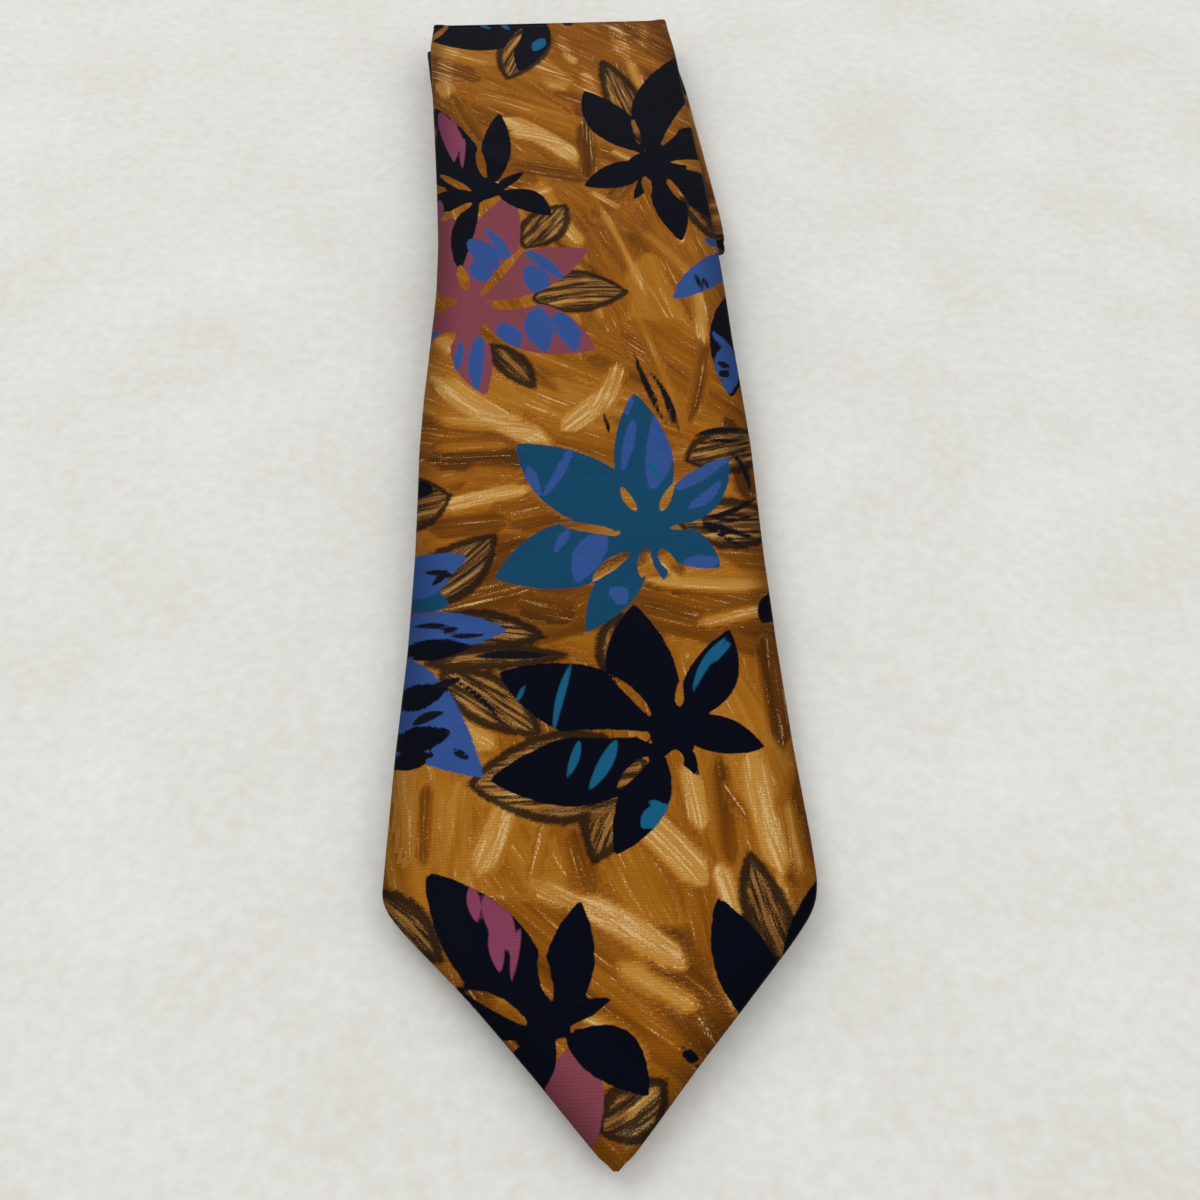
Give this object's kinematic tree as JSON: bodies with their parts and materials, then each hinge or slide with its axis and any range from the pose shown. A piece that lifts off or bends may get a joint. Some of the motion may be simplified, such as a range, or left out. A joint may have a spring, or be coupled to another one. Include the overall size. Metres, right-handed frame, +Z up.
{
  "type": "necktie",
  "caption": "Wide printed silk necktie laid folded in layers, point down, with unfolding layers and a lifting blade.",
  "frame": {"origin": "middle of the folded tie's footprint, on the surface it lies on", "axes": "+Z up, the blade's point towards -Y, the top fold towards +Y, +X to the right of the front"},
  "size_m": [0.1024, 0.4198, 0.0138],
  "materials": {
    "silk": "soft satin printed silk twill",
    "interlining": "brushed wool",
    "lining": "smooth acetate satin",
    "thread": "twisted thread",
    "brand_label": "woven satin",
    "care_label": "woven tape"
  },
  "bodies": {
    "tail_layer": {"tail_shell": "silk", "neck_shell_tail": "silk", "interlining_tail": "interlining", "tail_tipping": "lining", "tail_seam": "thread", "slip_stitch_tail": "thread", "tail_bar_tack": "thread"},
    "fourth_layer": {"neck_shell_fourth": "silk", "blade_shell_fourth": "silk", "interlining_fourth": "interlining", "blade_seam": "thread", "slip_stitch_fourth": "thread", "tail_fold_shell": "silk", "tail_fold_interlining": "interlining"},
    "third_layer": {"blade_shell_third": "silk", "interlining_third": "interlining", "slip_stitch_third": "thread", "left_fold_shell": "silk", "left_fold_interlining": "interlining"},
    "second_layer": {"blade_shell_second": "silk", "interlining_second": "interlining", "slip_stitch_second": "thread", "right_fold_shell": "silk", "right_fold_interlining": "interlining"},
    "blade_upper": {"blade_shell_upper": "silk", "interlining_upper": "interlining", "slip_stitch_upper": "thread", "top_fold_shell": "silk", "top_fold_interlining": "interlining"},
    "blade_front": {"blade_shell_front": "silk", "interlining_front": "interlining", "slip_stitch_front": "thread", "blade_tipping": "lining", "blade_bar_tack": "thread", "keeper_loop": "silk", "keeper_stitches": "thread", "brand_label": "brand_label", "label_stitches": "thread", "care_label": "care_label"}
  },
  "joints": [
    {"name": "tail_unfold", "type": "hinge", "parent": "tail_layer", "child": "fourth_layer", "pos_m": [-0.00125, -0.17346, 0.0022], "axis": [0.9997, 0.0225, 0], "range_deg": [0, 179], "deforming": ["tail_fold_shell", "tail_fold_interlining"]},
    {"name": "left_unfold", "type": "hinge", "parent": "fourth_layer", "child": "third_layer", "pos_m": [-0.0181, 0.20116, 0.0047], "axis": [-0.9893, -0.1457, 0], "range_deg": [0, 179], "deforming": ["left_fold_shell", "left_fold_interlining"]},
    {"name": "right_unfold", "type": "hinge", "parent": "third_layer", "child": "second_layer", "pos_m": [0.01375, 0.07512, 0.0072], "axis": [0.9836, 0.1806, 0], "range_deg": [0, 179], "deforming": ["right_fold_shell", "right_fold_interlining"]},
    {"name": "top_unfold", "type": "hinge", "parent": "second_layer", "child": "blade_upper", "pos_m": [-0.00125, 0.20426, 0.01062], "axis": [-0.9983, -0.0578, 0], "range_deg": [0, 180], "deforming": ["top_fold_shell", "top_fold_interlining"]},
    {"name": "blade_lift", "type": "hinge", "parent": "blade_upper", "child": "blade_front", "pos_m": [-0.00125, 0.04426, 0.01111], "axis": [-1, 0, 0], "range_deg": [0, 120]}
  ],
  "couplings": [
    {"joint": "left_unfold", "follows": "tail_unfold", "ratio": 1},
    {"joint": "top_unfold", "follows": "right_unfold", "ratio": 1.0053}
  ]
}
